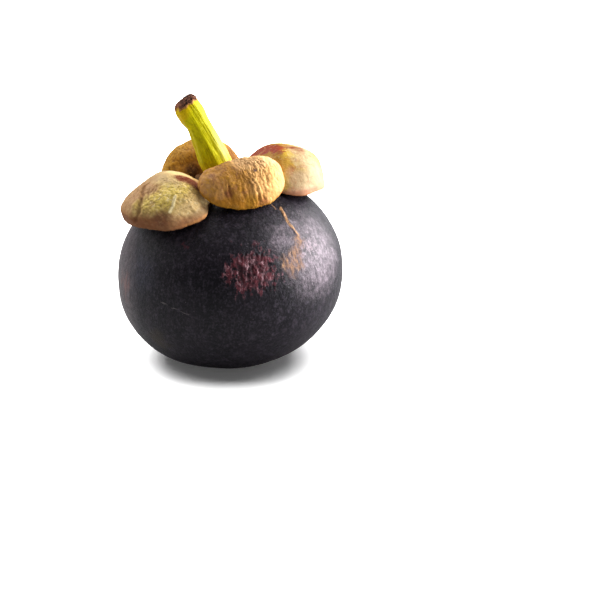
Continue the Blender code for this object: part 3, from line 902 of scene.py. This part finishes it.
def stem_finish():
    finish = Finish("stem_skin")
    place = finish.local((0, 0, 0))
    leaned = finish.local(STEM_BASE, lean=-STEM_LEAN)
    across, depth, rise = finish.parts(leaned)
    dry = finish.attribute("crack")
    streaks = finish.noise(finish.stretch(leaned, (1.0, 1.0, 0.13)), 1.3, 4.0, 0.6)
    fine = finish.noise(finish.stretch(leaned, (1.0, 1.0, 0.3)), 2.0, 3.0, 0.6)
    patch = finish.noise(leaned, 0.35, 3.0, 0.55)
    grain = finish.noise(place, 2.2, 3.0, 0.65)
    skin = finish.mix(patch.fade(0.4, 0.6), colour(198, 194, 0), colour(214, 208, 0))
    sunny = across.fade(0.2, 2.2)
    skin = finish.mix(sunny * 0.75, skin, colour(164, 158, 0))
    mottled = finish.noise(finish.stretch(leaned, (1.0, 1.0, 0.5)), 1.3, 4.0, 0.7)
    skin = finish.mix(mottled.fade(0.50, 0.38) * 0.4, skin, colour(158, 148, 0))
    skin = finish.mix(mottled.fade(0.54, 0.66) * 0.45, skin, colour(212, 210, 70))
    skin = finish.mix(streaks.fade(0.58, 0.68) * 0.5, skin, colour(216, 208, 30))
    lit = across.fade(2.6, 4.2) * depth.fade(1.0, -1.0) * (rise.fade(18.0, 12.0) * 0.75 + 0.25)
    skin = finish.mix(lit * 0.6, skin, colour(222, 216, 132))
    # Painted shade: darker on the back of the stalk
    skin = finish.mix(depth.fade(-0.2, 2.4) * 0.8, skin, colour(124, 118, 34))
    skin = finish.mix(fine.fade(0.55, 0.68) * 0.3, skin, colour(160, 156, 0))
    skin = finish.mix(across.fade(-0.5, -3.4) * rise.fade(9.0, 15.0) * 0.6, skin, colour(204, 176, 10))
    foot = (rise + streaks * 3).fade(11.0, 4.0)
    skin = finish.mix(foot * 0.9, skin, colour(246, 222, 50))
    browned = (rise - across * 0.9 + patch * 4).fade(23.6, 26.0)
    skin = finish.mix(browned * 0.65, skin, colour(218, 180, 6))
    skin = finish.mix(dry.fade(0.02, 0.4) * 0.85, skin, colour(170, 122, 78))
    skin = finish.mix(dry.fade(0.6, 0.98), skin, colour(134, 92, 74))
    burnt = dry.fade(0.85, 0.99) * grain.fade(0.40, 0.58) * (across.fade(-1.8, 0.0) * 0.8 + 0.2)
    skin = finish.mix(burnt, skin, colour(34, 22, 20))
    skin = finish.mix(dry.fade(0.85, 0.99) * grain.fade(0.40, 0.30) * 0.7, skin, colour(150, 112, 92))
    finish.set(base_color=skin, roughness=0.46 + fine * 0.15 + dry * 0.35)
    finish.reflect(0.12)
    finish.set(normal=finish.bump(streaks, 0.25, 0.6, under=finish.bump(grain, 0.12, 0.5)))
    return finish.material


def build_stem():
    stalk = refined_copy("stem", "stem_stalk", 3)
    carve(stalk, stem_depth)
    stalk.data.materials.append(stem_finish())


# ---------------------------------------------------------------- rosette

ROSETTE_INSET = 0.07
ROSETTE_VEIN = 0.08


def rosette_depth(place):
    """Low lumps and sunken veins."""
    veins = valley(place * 0.6, 0.3)
    return ROSETTE_INSET + swell(place, 0.5, 0.06) + veins * ROSETTE_VEIN, veins


def rosette_finish():
    finish = Finish("rosette_skin")
    place = finish.local((0, 0, 0))
    fine = finish.noise(place, 1.2, 4.0, 0.6)
    skin = finish.mix(fine.fade(0.35, 0.65), colour(74, 52, 40), colour(126, 98, 70))
    # Painted shade in the sunken veins
    skin = finish.mix(finish.attribute("crack") * 0.6, skin, colour(44, 30, 26))
    finish.set(base_color=skin, roughness=0.75 + fine * 0.1)
    finish.set(normal=finish.bump(fine, 0.2, 0.6))
    return finish.material


def build_rosette():
    scar = refined_copy("stigma_rosette", "rosette_scar", 2)
    carve(scar, rosette_depth)
    scar.data.materials.append(rosette_finish())


# ---------------------------------------------------------------- studio

CAMERA_RISE = math.radians(20.0)
CAMERA_DISTANCE = 617.8    # millimetres from the fruit's middle
CAMERA_LENS = 135.0
AIM_RIGHT = 18.97
AIM_BELOW = 7.25
FLOOR_SIZE = 6.0           # metres
FLOOR_GAP = 0.05           # millimetres from the seen sheet down to the other one
FLOOR_GLOW = 0.09
AIR_LIGHT = 0.21
VIEW_GAMMA = 0.85

# Each light's name, direction from the fruit, distance, width and height in metres, and power
FLOOR_WASH = ("floor_wash", (0.0, 0.05, 1.0), 1.1, 2.0, 2.0, 100.0)
UNDER_WASH = ("under_wash", (0.0, 0.2, 1.0), 1.1, 2.0, 2.0, 26.0)
FRUIT_LIGHTS = (
    ("back_softbox", (-0.6, 0.6, 1.0), 1.0, 0.5, 0.5, 9.9),
    ("key_softbox", (0.75, -0.1, 0.75), 0.9, 0.5, 0.5, 5.8),
    ("side_softbox", (0.91, 0.30, 0.26), 0.7, 0.35, 0.35, 6.0),
    ("low_side_softbox", (0.95, 0.0, 0.1), 0.8, 0.35, 0.35, 8.0),
    ("rim_softbox", (0.7, 0.7, 0.35), 0.8, 0.4, 0.4, 2.7),
    ("left_strip", (-0.95, 0.35, 0.35), 0.8, 0.3, 0.5, 1.4),
)


def look_along(thing, direction):
    thing.rotation_euler = direction.to_track_quat("-Z", "Y").to_euler()


def build_camera():
    """A long lens, 20 degrees above level, aimed a little to the right and below the fruit."""
    lens = bpy.data.cameras.new("camera")
    lens.lens = CAMERA_LENS
    lens.sensor_width = 36.0
    lens.clip_end = 20.0
    camera = bpy.data.objects.new("camera", lens)
    bpy.context.scene.collection.objects.link(camera)
    back = Vector((0.0, -math.cos(CAMERA_RISE), math.sin(CAMERA_RISE)))
    right = Vector((1.0, 0.0, 0.0))
    up = Vector((0.0, math.sin(CAMERA_RISE), math.cos(CAMERA_RISE)))
    aim = FRUIT_MIDDLE + right * AIM_RIGHT - up * AIM_BELOW
    position = FRUIT_MIDDLE + back * CAMERA_DISTANCE
    camera.location = position * MM
    look_along(camera, aim - position)
    bpy.context.scene.camera = camera


def build_floor(name, height, seen):
    """A sheet of white paper. One is seen, and one just below it throws light back up."""
    bpy.ops.object.select_all(action="DESELECT")
    bpy.ops.mesh.primitive_plane_add(size=FLOOR_SIZE, location=(0, 0, height * MM))
    floor = bpy.context.object
    floor.name = name
    floor.visible_camera = seen
    floor.visible_diffuse = not seen
    floor.visible_glossy = not seen
    floor.visible_shadow = not seen
    finish = Finish(name)
    finish.set(base_color=colour(248, 248, 248), roughness=0.9)
    finish.set(emission_color=colour(255, 255, 255), emission_strength=FLOOR_GLOW if seen else 0.0)
    floor.data.materials.append(finish.material)
    return floor


def add_light(name, direction, distance, width, height, power):
    """A softbox that faces the fruit from a direction; sizes in metres."""
    lamp = bpy.data.lights.new(name, "AREA")
    lamp.shape = "RECTANGLE"
    lamp.size = width
    lamp.size_y = height
    lamp.energy = power
    light = bpy.data.objects.new(name, lamp)
    bpy.context.scene.collection.objects.link(light)
    towards = Vector(direction).normalized()
    light.location = FRUIT_MIDDLE * MM + towards * distance
    look_along(light, -towards)
    return light


def light_floors(light, floors, state):
    """INCLUDE keeps a light on these floors alone, EXCLUDE keeps it off them."""
    group = bpy.data.collections.new(light.name + "_flags")
    for index, floor in enumerate(floors):
        group.objects.link(floor)
        group.collection_objects[index].light_linking.link_state = state
    light.light_linking.receiver_collection = group


def build_studio():
    build_camera()
    seen = build_floor("studio_floor", 0.0, True)
    under = build_floor("studio_floor_under", -FLOOR_GAP, False)
    light_floors(add_light(*FLOOR_WASH), [seen], "INCLUDE")
    light_floors(add_light(*UNDER_WASH), [under], "INCLUDE")
    for fruit_light in FRUIT_LIGHTS:
        light_floors(add_light(*fruit_light), [seen, under], "EXCLUDE")
    air = bpy.data.worlds.new("studio_air")
    air.use_nodes = True
    background = air.node_tree.nodes["Background"]
    background.inputs["Color"].default_value = (1.0, 1.0, 1.0, 1.0)
    background.inputs["Strength"].default_value = AIR_LIGHT
    bpy.context.scene.world = air
    view = bpy.context.scene.view_settings
    view.view_transform = "Standard"
    view.gamma = VIEW_GAMMA


build_rind()
build_sepals()
build_collar()
build_stem()
build_rosette()
build_studio()
